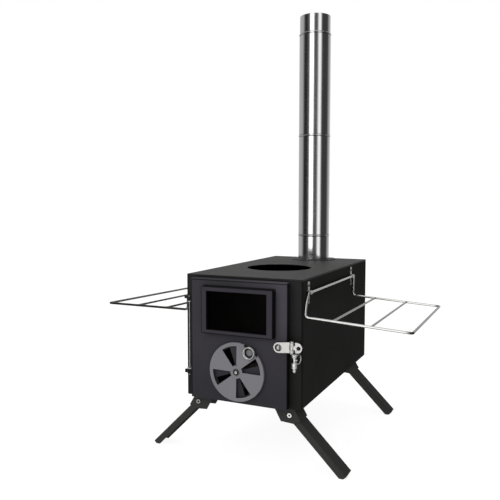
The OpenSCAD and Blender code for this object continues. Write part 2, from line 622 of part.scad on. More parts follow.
casing_shell();
front_frame();
back_panel();
top_plate();
fire_grate();
door_pan();
window_frame();
window_glass();
window_gasket();
window_screws();
door_gasket();
damper_disc();
damper_bolt();
damper_nut();
coil_knob();
hinge_rod();
hinge_washers();
casing_hinge_lugs();
door_hinge_ears();
latch_strap();
latch_bolt();
latch_spacer();
latch_nut();
latch_pin();
latch_hasp();
catch_bracket();
catch_stud();
snap_ring();
snap_pin();
rack_left();
rack_right();
rack_brackets();
rack_rivets();
leg_bracket_front_left();
leg_bracket_front_right();
leg_bracket_rear_left();
leg_bracket_rear_right();
bracket_rivets();
leg_front_left();
leg_front_right();
leg_rear_left();
leg_rear_right();
leg_bolts();
leg_nuts();
flue_collar();
flue_screws();
pipe_lower();
pipe_upper();
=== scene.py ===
import bpy
import bmesh
import math
from mathutils import Matrix, Vector, noise


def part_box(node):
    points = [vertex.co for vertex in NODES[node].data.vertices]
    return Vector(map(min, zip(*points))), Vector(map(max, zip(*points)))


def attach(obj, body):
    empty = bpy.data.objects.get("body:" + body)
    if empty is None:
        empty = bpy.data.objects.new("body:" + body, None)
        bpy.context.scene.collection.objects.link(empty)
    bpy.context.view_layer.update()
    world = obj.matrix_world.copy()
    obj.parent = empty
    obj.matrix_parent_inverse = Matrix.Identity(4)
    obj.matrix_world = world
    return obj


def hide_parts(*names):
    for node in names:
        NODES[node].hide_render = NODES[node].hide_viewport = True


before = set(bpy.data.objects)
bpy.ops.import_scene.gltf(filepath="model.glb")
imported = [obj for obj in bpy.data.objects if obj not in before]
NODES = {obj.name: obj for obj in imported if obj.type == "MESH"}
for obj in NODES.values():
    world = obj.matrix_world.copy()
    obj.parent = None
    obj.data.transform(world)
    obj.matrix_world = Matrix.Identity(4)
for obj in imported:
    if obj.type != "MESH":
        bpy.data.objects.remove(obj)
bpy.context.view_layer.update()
scene = bpy.context.scene

# The casing's own frame: x from its middle, y back from its front, z up from its bottom, in mm
Y_SHIFT, Z_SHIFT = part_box("casing_shell")[0].y * 1000.0, 97.0


def P(x, y, z):
    return Vector((x / 1000.0, (y + Y_SHIFT) / 1000.0, (z + Z_SHIFT) / 1000.0))


# ------------------------------------------------------------------ camera
PSI, PITCH = 0.436, 0.076
cam_data = bpy.data.cameras.new("camera")
cam = bpy.data.objects.new("camera", cam_data)
scene.collection.objects.link(cam)
cam_data.sensor_width = 36.0
cam_data.sensor_fit = "HORIZONTAL"
cam_data.lens = 612.2 / 500.0 * 36.0
cam_data.clip_start = 0.05
cam_data.clip_end = 200.0
cam.location = P(417.5, -866.3, 318.4)
cam.rotation_euler = (math.pi / 2 - PITCH, 0.0, PSI)
scene.camera = cam
scene.view_settings.view_transform = "Standard"
scene.view_settings.look = "None"


# ------------------------------------------------------------------ node helpers
class Tree:
    """A small helper round a node tree."""

    def __init__(self, tree):
        self.t = tree
        self.t.nodes.clear()

    def node(self, kind, **props):
        n = self.t.nodes.new(kind)
        for k, v in props.items():
            setattr(n, k, v)
        return n

    def link(self, a, b):
        self.t.links.new(a, b)

    def put(self, socket, value):
        if hasattr(value, "is_output"):
            self.link(value, socket)
        else:
            socket.default_value = value

    def math(self, op, a, b=0.0, c=None, clamp=False):
        n = self.node("ShaderNodeMath", operation=op, use_clamp=clamp)
        self.put(n.inputs[0], a)
        self.put(n.inputs[1], b)
        if c is not None:
            self.put(n.inputs[2], c)
        return n.outputs[0]

    def mix(self, fac, a, b, mode="MIX"):
        n = self.node("ShaderNodeMix", data_type="RGBA", blend_type=mode)
        self.put(n.inputs[0], fac)
        self.put(n.inputs[6], a)
        self.put(n.inputs[7], b)
        return n.outputs[2]

    def ramp(self, fac, stops, interp="LINEAR"):
        n = self.node("ShaderNodeValToRGB")
        n.color_ramp.interpolation = interp
        el = n.color_ramp.elements
        while len(el) > 1:
            el.remove(el[-1])
        for i, (p, c) in enumerate(stops):
            e = el[0] if i == 0 else el.new(p)
            e.position = p
            c = (c, c, c) if isinstance(c, (int, float)) else c
            e.color = (*c[:3], 1.0)
        self.link(fac, n.inputs[0])
        return n.outputs[0]

    def coords(self, scale=(1, 1, 1)):
        tc = self.node("ShaderNodeTexCoord")
        mp = self.node("ShaderNodeMapping")
        mp.inputs["Scale"].default_value = scale
        self.link(tc.outputs["Object"], mp.inputs[0])
        return mp.outputs[0]

    def noise(self, co, scale, detail=4.0, rough=0.55, distort=0.0):
        n = self.node("ShaderNodeTexNoise")
        n.inputs["Scale"].default_value = scale
        n.inputs["Detail"].default_value = detail
        n.inputs["Roughness"].default_value = rough
        n.inputs["Distortion"].default_value = distort
        self.link(co, n.inputs["Vector"])
        return n.outputs["Fac"]

    def remap(self, v, a, b, c, d):
        n = self.node("ShaderNodeMapRange")
        n.inputs[1].default_value, n.inputs[2].default_value = a, b
        n.inputs[3].default_value, n.inputs[4].default_value = c, d
        self.link(v, n.inputs[0])
        return n.outputs[0]

    def bump(self, height, strength, distance, normal=None):
        n = self.node("ShaderNodeBump")
        n.inputs["Strength"].default_value = strength
        n.inputs["Distance"].default_value = distance
        self.link(height, n.inputs["Height"])
        if normal is not None:
            self.link(normal, n.inputs["Normal"])
        return n.outputs[0]

    def edges(self, radius):
        """1 along convex and concave edges, 0 on flats."""
        bv = self.node("ShaderNodeBevel", samples=4)
        bv.inputs["Radius"].default_value = radius
        geo = self.node("ShaderNodeNewGeometry")
        dot = self.node("ShaderNodeVectorMath", operation="DOT_PRODUCT")
        self.link(bv.outputs[0], dot.inputs[0])
        self.link(geo.outputs["Normal"], dot.inputs[1])
        return self.remap(dot.outputs["Value"], 0.999, 0.9, 0.0, 1.0)


    def xyz(self):
        """Object coordinates as three values."""
        tc = self.node("ShaderNodeTexCoord")
        sx = self.node("ShaderNodeSeparateXYZ")
        self.link(tc.outputs["Object"], sx.inputs[0])
        return sx.outputs[0], sx.outputs[1], sx.outputs[2]

    def facing(self, axis):
        """The surface's own normal along one axis of the object."""
        tc = self.node("ShaderNodeTexCoord")
        sx = self.node("ShaderNodeSeparateXYZ")
        self.link(tc.outputs["Normal"], sx.inputs[0])
        return sx.outputs[axis]


def material(name):
    m = bpy.data.materials.new(name)
    m.use_nodes = True
    t = Tree(m.node_tree)
    out = t.node("ShaderNodeOutputMaterial")
    b = t.node("ShaderNodeBsdfPrincipled")
    t.link(b.outputs[0], out.inputs[0])
    return m, t, b


def srgb(r, g, b):
    def f(c):
        c /= 255.0
        return c / 12.92 if c <= 0.04045 else ((c + 0.055) / 1.055) ** 2.4
    return (f(r), f(g), f(b))


def tone(c, k):
    return tuple(min(1.0, x * k) for x in c)


def paint(name, col, rough=0.55, spec=0.25, grain=900.0, depth=0.00006, strength=0.35,
          vary=0.16, dust=None, dust_amount=0.0, wear=None, wear_amount=0.35, shade=None):
    """Heat-resistant paint: fine grain, slow blotches, dull dust, and rubbed edges."""
    m, t, b = material(name)
    co = t.coords()
    slow = t.noise(co, 9.0, 3.0, 0.6)
    mid = t.noise(co, 60.0, 4.0, 0.6)
    fine = t.noise(co, grain, 3.0, 0.6)
    speck = t.noise(co, grain * 0.45, 2.0, 0.5)
    c = t.mix(t.remap(slow, 0.3, 0.7, 0.0, 1.0), (*tone(col, 1 - vary), 1), (*tone(col, 1 + vary), 1))
    c = t.mix(t.remap(mid, 0.35, 0.75, 0.0, 0.35), c, (*tone(col, 1 + 1.4 * vary), 1))
    c = t.mix(t.remap(fine, 0.42, 0.72, 0.0, 0.4), c, (*tone(col, 1.45), 1))
    if dust is not None:
        c = t.mix(t.remap(mid, 0.4, 0.8, 0.0, dust_amount), c, (*dust, 1))
    e = t.edges(0.0007)
    if wear is not None:
        rub = t.math("MULTIPLY", e, t.remap(mid, 0.4, 0.62, 0.0, wear_amount))
        c = t.mix(rub, c, (*wear, 1))
    if shade is not None:
        c = shade(t, c)
    t.link(c, b.inputs["Base Color"])
    r = t.math("ADD", t.remap(slow, 0.25, 0.75, rough - 0.05, rough + 0.05), t.remap(speck, 0.3, 0.7, -0.05, 0.05))
    r = t.math("SUBTRACT", r, t.math("MULTIPLY", e, 0.08))
    t.link(r, b.inputs["Roughness"])
    b.inputs["Specular IOR Level"].default_value = spec
    h = t.math("ADD", t.math("MULTIPLY", fine, 0.7), t.math("MULTIPLY", speck, 0.6))
    n = t.bump(h, strength, depth)
    n = t.bump(slow, 0.12, 0.0006, n)
    t.link(n, b.inputs["Normal"])
    return m


def steel(name, col, rough=0.2, brush=(1, 1, 1), brush_depth=0.00001, tarnish=None, tarnish_amount=0.25,
          aniso=0.0, edge=None, smear=0.06, shade=None):
    """Bright steel: directional brushing, smears and a darker film in places."""
    m, t, b = material(name)
    co = t.coords()
    lines = t.noise(t.coords(brush), 260.0, 5.0, 0.65)
    slow = t.noise(co, 14.0, 4.0, 0.6, 0.4)
    mid = t.noise(co, 120.0, 4.0, 0.6)
    c = t.mix(t.remap(lines, 0.3, 0.7, 0.0, 1.0), (*tone(col, 0.93), 1), (*tone(col, 1.03), 1))
    if tarnish is not None:
        c = t.mix(t.remap(slow, 0.45, 0.8, 0.0, tarnish_amount), c, (*tarnish, 1))
    e = t.edges(0.0004)
    if edge is not None:
        c = t.mix(t.math("MULTIPLY", e, 0.5), c, (*edge, 1))
    if shade is not None:
        c = shade(t, c)
    t.link(c, b.inputs["Base Color"])
    b.inputs["Metallic"].default_value = 1.0
    r = t.math("ADD", t.remap(lines, 0.3, 0.7, rough - 0.03, rough + 0.05), t.remap(slow, 0.35, 0.75, -0.02, smear))
    r = t.math("ADD", r, t.remap(mid, 0.4, 0.8, 0.0, 0.03))
    t.link(r, b.inputs["Roughness"])
    if aniso:
        b.inputs["Anisotropic"].default_value = aniso
    n = t.bump(lines, 0.25, brush_depth)
    n = t.bump(mid, 0.1, 0.00003, n)
    t.link(n, b.inputs["Normal"])
    return m


def painted_contact_shade(*boxes, painted_sheen=0.0):
    """Painted contact shade where one sheet meets another: dark outlines of round-cornered rectangles on a face towards
    -Y (x0, x1, z0, z1 in the casing's frame, width in mm, amount).
    """
    def shade(t, c):
        x, y, z = t.xyz()
        fac = None
        for x0, x1, z0, z1, width, amount in boxes:
            lo, hi = P(x0, 0, z0), P(x1, 0, z1)
            dx = t.math("SUBTRACT", t.math("ABSOLUTE", t.math("SUBTRACT", x, (lo.x + hi.x) / 2)), (hi.x - lo.x) / 2)
            dz = t.math("SUBTRACT", t.math("ABSOLUTE", t.math("SUBTRACT", z, (lo.z + hi.z) / 2)), (hi.z - lo.z) / 2)
            d = t.math("ABSOLUTE", t.math("MAXIMUM", dx, dz))
            f = t.remap(d, width * 0.0005, width * 0.0008, amount, 0.0)
            fac = f if fac is None else t.math("MAXIMUM", fac, f)
        # Walls that turn away to the right are in their own shade
        wall = t.remap(t.facing(0), 0.55, 0.9, 0.0, 0.8)
        fac = t.math("MAXIMUM", fac, wall)
        # The lower part of the front is darker towards the bottom
        low = t.remap(z, P(0, 0, 10).z, P(0, 0, 120).z, 0.3, 0.0)
        c = t.mix(low, c, (0.004, 0.0038, 0.0044, 1))
        # Painted highlight: the upper right part of the face is lighter
        if painted_sheen:
            up = t.math("MULTIPLY", t.remap(x, P(-10, 0, 0).x, P(70, 0, 0).x, 0.0, painted_sheen), t.remap(z, P(0, 0, 85).z, P(0, 0, 140).z, 0.0, 1.0))
            c = t.mix(up, c, (*srgb(72, 70, 77), 1))
        return t.mix(fac, c, (0.0012, 0.0012, 0.0013, 1))
    return shade


def rim_shade(t, c):
    """Painted shade: the top plate's rim, which turns away from the top, is darker than its face."""
    return t.mix(t.remap(t.facing(2), 0.9, 0.995, 0.9, 0.0), c, (0.0065, 0.0065, 0.0065, 1))


def corner_shade(t, c):
    """Painted shade on the casing's rounded front edges; the front is also darker towards the bottom."""
    x, y, z = t.xyz()
    side = t.remap(t.math("ABSOLUTE", x), 0.0988, 0.1008, 0.0, 0.55)
    front = t.remap(y, P(0, 1.0, 0).y, P(0, 6.5, 0).y, 1.0, 0.0)
    low = t.math("MULTIPLY", t.remap(z, P(0, 0, 10).z, P(0, 0, 110).z, 0.3, 0.0), front)
    return t.mix(t.math("MAXIMUM", low, t.math("MULTIPLY", side, front)), c, (0.003, 0.003, 0.003, 1))


def round_shade(centre, stops, axis=1, mirror=False):
    """A tone that depends on the distance from an axis: stops are (mm, factor)."""
    def shade(t, c):
        xyz = list(t.xyz())
        if mirror:
            xyz[0] = t.math("ABSOLUTE", xyz[0])
        cc = [centre.x, centre.y, centre.z]
        a, b = [i for i in range(3) if i != axis]
        da = t.math("SUBTRACT", xyz[a], cc[a])
        db = t.math("SUBTRACT", xyz[b], cc[b])
        d = t.math("SQRT", t.math("ADD", t.math("MULTIPLY", da, da), t.math("MULTIPLY", db, db)))
        top = stops[-1][0]
        f = t.ramp(t.math("MULTIPLY", d, 1000.0 / top, clamp=True), [(r / top, k) for r, k in stops])
        return t.mix(1.0, c, f, "MULTIPLY")
    return shade


def bead_shade(t, c):
    """Dark lines under and over each rolled bead: partly the real joint where one section sits on the bead below,
    partly painted shade in the creases beside the bead.
    """
    x, y, z = t.xyz()
    fac = None
    for zb in (253.5, 456.0, 658.5):
        for off, w in ((-1.75, 0.0004), (1.6, 0.0003)):
            d = t.math("ABSOLUTE", t.math("SUBTRACT", z, P(0, 0, zb + off).z))
            f = t.remap(d, w, w * 1.8, 0.85, 0.0)
            fac = f if fac is None else t.math("MAXIMUM", fac, f)
    return t.mix(fac, c, (0.05, 0.05, 0.05, 1))


def bend_dark_reflection(t, c):
    """Painted dark reflection in the rack wire's outer bends."""
    x, y, z = t.xyz()
    fac = None
    for y0 in (7.0, 277.0):
        q = P(264.9, y0, 0)
        a = t.math("SUBTRACT", t.math("ABSOLUTE", x), q.x)
        b = t.math("SUBTRACT", y, q.y)
        d = t.math("SQRT", t.math("ADD", t.math("MULTIPLY", a, a), t.math("MULTIPLY", b, b)))
        f = t.remap(d, 0.004, 0.011, 0.9, 0.0)
        fac = f if fac is None else t.math("MAXIMUM", fac, f)
    return t.mix(fac, c, (0.03, 0.03, 0.03, 1))


def wire_shade(t, c):
    """Darker crossbars and outer side bar, with painted dark reflection in the outer bends."""
    c = bend_dark_reflection(t, c)
    x, y, z = t.xyz()
    inner = t.math("MULTIPLY", t.remap(y, P(0, 10, 0).y, P(0, 14, 0).y, 0.0, 1.0), t.remap(y, P(0, 270, 0).y, P(0, 274, 0).y, 1.0, 0.0))
    cross = t.math("MULTIPLY", inner, t.remap(x, P(112, 0, 0).x, P(118, 0, 0).x, 0.0, 1.0))
    return t.mix(cross, c, (0.3, 0.298, 0.29, 1))


M = {}
M["casing"] = paint("casing_black", srgb(38, 37.5, 37), rough=0.8, spec=0.0, vary=0.1, grain=1000, wear=srgb(60, 60, 60), wear_amount=0.2, shade=corner_shade)
M["top"] = paint("top_grey_black", srgb(40, 39.5, 39), rough=0.6, spec=0.3, grain=800, vary=0.1, dust=srgb(58, 56, 54), dust_amount=0.3, wear=srgb(70, 68, 66), wear_amount=0.1, shade=rim_shade)
# Door and window frame: painted contact shade along their outlines and painted shade on walls facing right; the door
# also gets a painted highlight
M["door"] = paint("door_charcoal", srgb(50, 48.5, 53), rough=0.62, spec=0.06, vary=0.1, wear=srgb(78, 77, 82), wear_amount=0.25,
                  shade=painted_contact_shade((-85.2, 90, -20, 196.1, 1.3, 0.75), (-63.6, 62.3, 110.7, 187.6, 1.2, 0.8), painted_sheen=0.62))
M["window_frame"] = paint("window_frame_charcoal", srgb(50, 48, 53.5), rough=0.6, spec=0.06, vary=0.1, wear=srgb(78, 77, 82), wear_amount=0.25, shade=painted_contact_shade((-53, 51.3, 118, 180, 0.8, 0.7), (-62.5, 61.7, 111.8, 187.2, 2.0, 0.85)))
# The disc is darker in a ring inside and under the coil knob's wire: painted shadow
M["disc"] = paint("damper_grey", srgb(106, 105, 109), rough=0.5, spec=0.16, vary=0.06, grain=1100, strength=0.2, wear=srgb(150, 150, 153), wear_amount=0.4,
                  shade=round_shade(P(20.4, 0, 86.3), [(0, 1.0), (4.4, 1.0), (5.6, 0.1), (8.6, 0.08), (9.4, 0.45), (10.4, 1.0)]))
M["leg"] = paint("leg_black", srgb(49, 49, 48), rough=0.66, spec=0.04, grain=600, strength=0.6, vary=0.12, wear=srgb(84, 84, 82), wear_amount=0.3)
M["grate"] = paint("grate_steel", srgb(62, 56, 52), rough=0.75, spec=0.2, grain=400, strength=0.6, dust=srgb(120, 112, 104), dust_amount=0.5, wear=srgb(110, 100, 92))
M["inside"] = paint("sooted_sheet", srgb(16, 15, 14), rough=0.9, spec=0.02, grain=300, strength=0.7, dust=srgb(40, 37, 35), dust_amount=0.3)
M["black_part"] = paint("blackened_steel", srgb(22, 22, 22), rough=0.45, spec=0.25, grain=900, strength=0.3, wear=srgb(90, 90, 88), wear_amount=0.35)
M["wire"] = steel("wire_steel", (0.56, 0.555, 0.54), rough=0.18, tarnish=(0.3, 0.29, 0.275), tarnish_amount=0.3, shade=wire_shade)
# The left rack's wire is a darker copy of the rack steel: painted shade
M["wire_dark"] = steel("wire_steel_painted_shade", (0.2, 0.197, 0.19), rough=0.2, tarnish=(0.07, 0.068, 0.065), tarnish_amount=0.5)
M["rod"] = steel("hinge_rod_steel", (0.4, 0.395, 0.385), rough=0.25, tarnish=(0.2, 0.19, 0.18), tarnish_amount=0.3)
M["coil"] = steel("coil_steel", (0.8, 0.795, 0.78), rough=0.3, tarnish=(0.4, 0.39, 0.37), tarnish_amount=0.3)
M["pipe"] = steel("pipe_steel", (0.74, 0.74, 0.74), rough=0.1, brush=(1, 1, 0.03), tarnish=(0.6, 0.59, 0.57), tarnish_amount=0.15, shade=bead_shade)
M["flange"] = paint("flange_blackened", srgb(36, 36, 36), rough=0.5, spec=0.2, grain=900, strength=0.3, vary=0.15, wear=srgb(120, 120, 118), wear_amount=0.4)
M["stainless"] = steel("stainless", (0.77, 0.76, 0.735), rough=0.52, brush=(0.05, 1, 1), tarnish=(0.45, 0.43, 0.40), tarnish_amount=0.25, edge=(0.92, 0.92, 0.9))
M["hasp"] = steel("hasp_stainless", (0.75, 0.745, 0.73), rough=0.5, brush=(1, 1, 0.05), tarnish=(0.4, 0.38, 0.36), tarnish_amount=0.3, edge=(0.9, 0.9, 0.88))
M["bolt"] = steel("bolt_steel", (0.66, 0.655, 0.64), rough=0.24, tarnish=(0.4, 0.38, 0.36), tarnish_amount=0.35, edge=(0.85, 0.85, 0.83))
M["damper_bolt"] = steel("damper_bolt_steel", (0.66, 0.655, 0.64), rough=0.3, tarnish=(0.4, 0.38, 0.36), tarnish_amount=0.3,
                         shade=round_shade(P(-2.5, 0, 53), [(0, 1.0), (1.9, 0.95), (2.7, 0.13), (4.2, 0.09), (5.5, 0.16), (7, 0.3)]))
M["latch_bolt"] = steel("latch_bolt_steel", (0.66, 0.655, 0.64), rough=0.3, tarnish=(0.4, 0.38, 0.36), tarnish_amount=0.3,
                        shade=round_shade(P(68.6, 0, 100.2), [(0, 1.0), (1.9, 0.85), (3.2, 0.4), (5.0, 0.3), (7, 0.5)]))
M["leg_bolt"] = steel("leg_bolt_steel", (0.70, 0.695, 0.68), rough=0.28, tarnish=(0.45, 0.43, 0.4), tarnish_amount=0.3,
                      shade=round_shade(P(81.1, 0, -9.8), [(0, 0.05), (1.3, 0.07), (1.7, 0.8), (2.6, 1.0), (5, 0.9)], mirror=True))
M["pin"] = steel("snap_pin_steel", (0.93, 0.925, 0.91), rough=0.5, tarnish=(0.5, 0.49, 0.46), tarnish_amount=0.2)
M["ring"] = steel("snap_ring_steel", (0.9, 0.895, 0.88), rough=0.55, tarnish=(0.5, 0.49, 0.46), tarnish_amount=0.2)
M["knuckle_pin"] = steel("knuckle_pin_steel", (0.78, 0.775, 0.76), rough=0.4, tarnish=(0.5, 0.49, 0.46), tarnish_amount=0.2)
M["bracket"] = steel("bracket_steel", (0.5, 0.495, 0.48), rough=0.32, tarnish=(0.25, 0.24, 0.23), tarnish_amount=0.4, edge=(0.8, 0.8, 0.78),
                     shade=lambda t, c: t.mix(t.remap(t.xyz()[2], P(0, 0, 175).z, P(0, 0, 179).z, 0.65, 0.0), c, (0.05, 0.05, 0.048, 1)))
M["dark_bolt"] = steel("dark_bolt_steel", (0.2, 0.195, 0.19), rough=0.3, tarnish=(0.1, 0.095, 0.09), tarnish_amount=0.5, edge=(0.4, 0.4, 0.38))


def glass_material():
    m, t, b = material("dark_glass")
    co = t.coords()
    slow = t.noise(co, 22.0, 4.0, 0.6, 0.5)
    film = t.noise(co, 160.0, 3.0, 0.6)
    c = t.mix(t.remap(slow, 0.35, 0.75, 0.0, 1.0), (0.0006, 0.0005, 0.0005, 1), (0.0018, 0.0015, 0.0013, 1))
    t.link(c, b.inputs["Base Color"])
    t.link(t.math("ADD", t.remap(slow, 0.3, 0.8, 0.05, 0.12), t.remap(film, 0.4, 0.8, 0.0, 0.05)), b.inputs["Roughness"])
    b.inputs["IOR"].default_value = 1.5
    b.inputs["Specular IOR Level"].default_value = 0.02
    b.inputs["Alpha"].default_value = 0.97
    t.link(t.bump(slow, 0.05, 0.0004), b.inputs["Normal"])
    return m


def rope_material():
    m, t, b = material("rope_seal")
    co = t.coords()
    w = t.node("ShaderNodeTexWave", wave_type="BANDS", bands_direction="DIAGONAL")
    w.inputs["Scale"].default_value = 260.0
    w.inputs["Distortion"].default_value = 1.5
    t.link(co, w.inputs["Vector"])
    fuzz = t.noise(co, 900.0, 4.0, 0.7)
    soot = t.noise(co, 40.0, 3.0, 0.6)
    c = t.mix(w.outputs["Fac"], (0.30, 0.28, 0.25, 1), (0.52, 0.49, 0.43, 1))
    c = t.mix(t.remap(soot, 0.4, 0.7, 0.0, 0.7), c, (0.07, 0.062, 0.055, 1))
    t.link(c, b.inputs["Base Color"])
    t.link(t.remap(fuzz, 0.3, 0.7, 0.85, 0.97), b.inputs["Roughness"])
    b.inputs["Sheen Weight"].default_value = 0.3
    t.link(t.bump(t.math("ADD", w.outputs["Fac"], fuzz), 0.6, 0.0005), b.inputs["Normal"])
    return m


M["glass"] = glass_material()
M["rope"] = rope_material()

CAD_MATERIAL = {
    "casing_shell": "casing", "front_frame": "inside", "back_panel": "casing", "casing_hinge_lugs": "casing", "top_plate": "top",
    "fire_grate": "grate", "door_pan": "door", "window_frame": "window_frame", "door_hinge_ears": "casing",
    "window_glass": "glass", "window_gasket": "rope", "door_gasket": "rope", "damper_disc": "disc",
    "leg_bracket_front_left": "leg", "leg_bracket_front_right": "leg", "leg_bracket_rear_left": "leg", "leg_bracket_rear_right": "leg",
    "bracket_rivets": "leg", "leg_front_left": "leg", "leg_front_right": "leg", "leg_rear_left": "leg", "leg_rear_right": "leg",
    "leg_bolts": "leg_bolt", "leg_nuts": "dark_bolt", "rack_left": "wire_dark", "rack_right": "wire", "rack_brackets": "bracket", "rack_rivets": "dark_bolt",
    "flue_collar": "pipe", "pipe_lower": "pipe", "pipe_upper": "pipe", "flue_screws": "dark_bolt",
    "hinge_rod": "rod", "hinge_washers": "stainless", "latch_strap": "stainless", "latch_bolt": "latch_bolt", "latch_spacer": "bolt", "latch_nut": "bolt",
    "latch_pin": "knuckle_pin", "latch_hasp": "hasp", "catch_bracket": "black_part", "catch_stud": "black_part", "snap_ring": "ring", "snap_pin": "pin",
    "coil_knob": "coil", "damper_bolt": "damper_bolt", "damper_nut": "bolt", "window_screws": "bolt",
}
BEVEL = {"casing_shell": 0.0004, "top_plate": 0.0004, "door_pan": 0.0003, "window_frame": 0.0003, "damper_disc": 0.0003,
         "latch_strap": 0.00035, "latch_hasp": 0.00035, "catch_bracket": 0.0003, "window_glass": 0.0004}


def finish_cad(name, mat, width=0.00025):
    o = NODES[name]
    o.data.materials.clear()
    o.data.materials.append(mat)
    for p in o.data.polygons:
        p.material_index = 0
        p.use_smooth = True
    if "custom_normal" in o.data.attributes:
        o.data.attributes.remove(o.data.attributes["custom_normal"])
    w = o.modifiers.new("weld", "WELD")
    w.merge_threshold = 1e-6
    d = o.modifiers.new("flat", "DECIMATE")
    d.decimate_type = "DISSOLVE"
    d.angle_limit = math.radians(0.4)
    bv = o.modifiers.new("edges", "BEVEL")
    bv.width = width
    bv.segments = 2
    bv.limit_method = "ANGLE"
    bv.angle_limit = math.radians(32)
    bv.use_clamp_overlap = True
    wn = o.modifiers.new("normals", "WEIGHTED_NORMAL")
    wn.keep_sharp = False
    wn.weight = 80
    return o


for n, key in CAD_MATERIAL.items():
    finish_cad(n, M[key], BEVEL.get(n, 0.00025))


# ------------------------------------------------------------------ pieces made here
def make_piece(name, verts, faces, mat, sharp_deg=40.0):
    me = bpy.data.meshes.new(name)
    me.from_pydata([tuple(v) for v in verts], [], faces)
    me.validate()
    bmx = bmesh.new()
    bmx.from_mesh(me)
    bmesh.ops.recalc_face_normals(bmx, faces=bmx.faces)
    bmx.to_mesh(me)
    bmx.free()
    for q in me.polygons:
        q.use_smooth = True
    o = bpy.data.objects.new(name, me)
    scene.collection.objects.link(o)
    me.materials.append(mat)
    me.set_sharp_from_angle(angle=math.radians(sharp_deg))
    wn = o.modifiers.new("normals", "WEIGHTED_NORMAL")
    wn.keep_sharp = True
    wn.weight = 70
    return o


def tube_along(points, radius, seg=14, closed=False, ends=True):
    """Verts and faces of a round wire along points (P vectors). radius is in mm, or a function of the index."""
    n = len(points)
    tang = []
    for i in range(n):
        a = points[(i - 1) % n] if closed or i > 0 else points[i]
        b = points[(i + 1) % n] if closed or i < n - 1 else points[i]
        tang.append((b - a).normalized())
    up = Vector((0, 0, 1)) if abs(tang[0].z) < 0.9 else Vector((1, 0, 0))
    nrm = (up - tang[0] * up.dot(tang[0])).normalized()
    frames = []
    for i in range(n):
        if i:
            nrm = (nrm - tang[i] * nrm.dot(tang[i])).normalized()
        frames.append((nrm.copy(), tang[i].cross(nrm)))
    verts, faces = [], []
    for i in range(n):
        r = (radius(i) if callable(radius) else radius) / 1000.0
        u, v = frames[i]
        for k in range(seg):
            a = 2 * math.pi * k / seg
            verts.append(points[i] + (u * math.cos(a) + v * math.sin(a)) * r)
    last = n if closed else n - 1
    # The closing ring of a closed wire is matched to the first by its nearest start
    off = 0
    if closed:
        off = min(range(seg), key=lambda k: (verts[(n - 1) * seg] - verts[k]).length)
    for i in range(last):
        j = (i + 1) % n
        for k in range(seg):
            k2 = (k + 1) % seg
            o2 = off if closed and j == 0 else 0
            faces.append((i * seg + k, i * seg + k2, j * seg + (k2 + o2) % seg, j * seg + (k + o2) % seg))
    if not closed and ends:
        for i, sgn in ((0, -1), (n - 1, 1)):
            r = (radius(i) if callable(radius) else radius) / 1000.0
            tip = points[i] + tang[i] * sgn * r * 0.45
            verts.append(tip)
            c = len(verts) - 1
            for k in range(seg):
                faces.append((i * seg + k, i * seg + (k + 1) % seg, c))
    return verts, faces


def fillet(points, radius, closed=False, steps=8):
    """A path with each corner turned into an arc of that radius in mm."""
    n = len(points)
    out = []
    for i, p in enumerate(points):
        if not closed and i in (0, n - 1):
            out.append(p.copy())
            continue
        a, b = points[(i - 1) % n], points[(i + 1) % n]
        u, v = (a - p), (b - p)
        la, lb = u.length, v.length
        u.normalize(), v.normalize()
        ang = u.angle(v)
        d = min(radius / 1000.0 / math.tan(ang / 2), 0.45 * min(la, lb))
        s0, s1 = p + u * d, p + v * d
        for k in range(steps + 1):
            w = k / steps
            q = s0 * (1 - w) ** 2 + p * 2 * w * (1 - w) + s1 * w * w
            out.append(q)
    return out


def join(parts):
    verts, faces = [], []
    for v, f in parts:
        base = len(verts)
        verts += v
        faces += [tuple(i + base for i in q) for q in f]
    return verts, faces


def ball(centre, r, squash=(1, 1, 1), seg=12):
    """A weld bead: a rounded, slightly uneven lump."""
    verts, faces = [], []
    rows = seg // 2
    for i in range(rows + 1):
        th = math.pi * i / rows
        for k in range(seg):
            a = 2 * math.pi * k / seg
            d = Vector((math.sin(th) * math.cos(a) * squash[0], math.sin(th) * math.sin(a) * squash[1], math.cos(th) * squash[2]))
            k_r = r * (1 + 0.1 * noise.noise(d * 2.3 + centre * 900.0)) / 1000.0
            verts.append(centre + d * k_r)
    for i in range(rows):
        for k in range(seg):
            faces.append((i * seg + k, i * seg + (k + 1) % seg, (i + 1) * seg + (k + 1) % seg, (i + 1) * seg + k))
    return verts, faces


# Racks: one closed loop of bent wire with two welded crossbars
PVX, PVZ, FOOT_X, REACH, WR = 105.0, 180.6, 103.8, 264.9, 2.0


